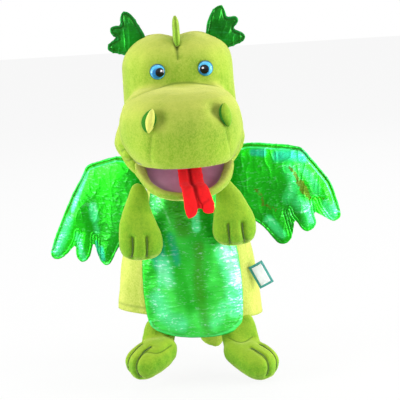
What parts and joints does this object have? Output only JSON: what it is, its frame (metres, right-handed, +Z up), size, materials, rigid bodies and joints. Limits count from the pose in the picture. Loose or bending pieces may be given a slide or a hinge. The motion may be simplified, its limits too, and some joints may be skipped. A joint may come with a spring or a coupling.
{
  "type": "moving mouth puppet",
  "caption": "Plush dragon hand puppet with a hinged mouth, forked tongue, padded shiny wings and ears, a belly panel, and swinging arms, legs and tail.",
  "frame": {"origin": "centre of the hand opening, level with the hem of the sleeve", "axes": "+Z up along the sleeve to the head, -Y the way the puppet looks, +X to the right seen from the front"},
  "size_m": [0.3157, 0.2193, 0.384],
  "materials": {
    "green_plush": "short velour pile",
    "lining_cloth": "plain woven lining",
    "shiny_cloth": "crinkled iridescent cloth, glossy",
    "label_tape": "satin ribbon",
    "mouth_cloth": "brushed knit",
    "mouth_board": "bare sheet",
    "stuffing": "loose fibre",
    "red_plush": "short velour pile",
    "eye_plastic": "polished",
    "washer_plastic": "bare",
    "dark_thread": "twisted thread"
  },
  "bodies": {
    "sleeve": {"sleeve_plush": "green_plush", "sleeve_lining": "lining_cloth", "sleeve_hem": "lining_cloth", "neck_cuff": "green_plush", "belly_panel": "shiny_cloth", "side_label": "label_tape"},
    "head": {"head_plush": "green_plush", "head_stuffing": "stuffing", "finger_pocket": "lining_cloth", "upper_mouth_board": "mouth_board", "upper_mouth_lining": "mouth_cloth", "crown_fin": "green_plush", "eye_left": "eye_plastic", "eye_washer_left": "washer_plastic", "nostril_left": "green_plush", "ear_left": "shiny_cloth", "ear_wadding_left": "stuffing", "eye_right": "eye_plastic", "eye_washer_right": "washer_plastic", "nostril_right": "green_plush", "ear_right": "shiny_cloth", "ear_wadding_right": "stuffing"},
    "jaw": {"jaw_plush": "green_plush", "jaw_padding": "stuffing", "thumb_pocket": "lining_cloth", "lower_mouth_board": "mouth_board", "lower_mouth_lining": "mouth_cloth"},
    "tongue_flap": {"tongue": "red_plush"},
    "tail_swing": {"tail": "green_plush", "tail_stuffing": "stuffing"},
    "left_arm": {"arm_left": "green_plush", "arm_stuffing_left": "stuffing", "paw_threads_left": "dark_thread"},
    "left_leg": {"leg_left": "green_plush", "leg_stuffing_left": "stuffing", "foot_threads_left": "dark_thread"},
    "left_wing": {"wing_front_left": "shiny_cloth", "wing_wadding_left": "stuffing", "wing_back_left": "shiny_cloth"},
    "right_arm": {"arm_right": "green_plush", "arm_stuffing_right": "stuffing", "paw_threads_right": "dark_thread"},
    "right_leg": {"leg_right": "green_plush", "leg_stuffing_right": "stuffing", "foot_threads_right": "dark_thread"},
    "right_wing": {"wing_front_right": "shiny_cloth", "wing_wadding_right": "stuffing", "wing_back_right": "shiny_cloth"}
  },
  "joints": [
    {"name": "head_nod", "type": "hinge", "parent": "sleeve", "child": "head", "pos_m": [0, 0.014, 0.15], "axis": [1, 0, 0], "range_deg": [-12, 10]},
    {"name": "jaw_open", "type": "hinge", "parent": "head", "child": "jaw", "pos_m": [0, -0.03, 0.17], "axis": [1, 0, 0], "range_deg": [-10, 12]},
    {"name": "tongue_lift", "type": "hinge", "parent": "jaw", "child": "tongue_flap", "pos_m": [0, -0.05136, 0.16435], "axis": [-1, 0, 0], "range_deg": [0, 15]},
    {"name": "arm_swing_left", "type": "hinge", "parent": "sleeve", "child": "left_arm", "pos_m": [-0.046, -0.04, 0.113], "axis": [0, 1, 0], "range_deg": [-4, 70]},
    {"name": "arm_swing_right", "type": "hinge", "parent": "sleeve", "child": "right_arm", "pos_m": [0.046, -0.04, 0.113], "axis": [0, -1, 0], "range_deg": [-4, 70]},
    {"name": "leg_swing_left", "type": "hinge", "parent": "sleeve", "child": "left_leg", "pos_m": [-0.041, -0.0213, -0.0063], "axis": [1, 0, 0], "range_deg": [-4, 35]},
    {"name": "leg_swing_right", "type": "hinge", "parent": "sleeve", "child": "right_leg", "pos_m": [0.041, -0.0213, -0.0063], "axis": [1, 0, 0], "range_deg": [-4, 35]},
    {"name": "wing_sweep_left", "type": "hinge", "parent": "sleeve", "child": "left_wing", "pos_m": [-0.042, 0.03441, 0.1], "axis": [0, 0, -1], "range_deg": [-14, 35]},
    {"name": "wing_sweep_right", "type": "hinge", "parent": "sleeve", "child": "right_wing", "pos_m": [0.042, 0.03441, 0.1], "axis": [0, 0, 1], "range_deg": [-14, 35]},
    {"name": "tail_swing", "type": "hinge", "parent": "sleeve", "child": "tail_swing", "pos_m": [0, 0.04102, 0.042], "axis": [1, 0, 0], "range_deg": [0, 60]}
  ]
}
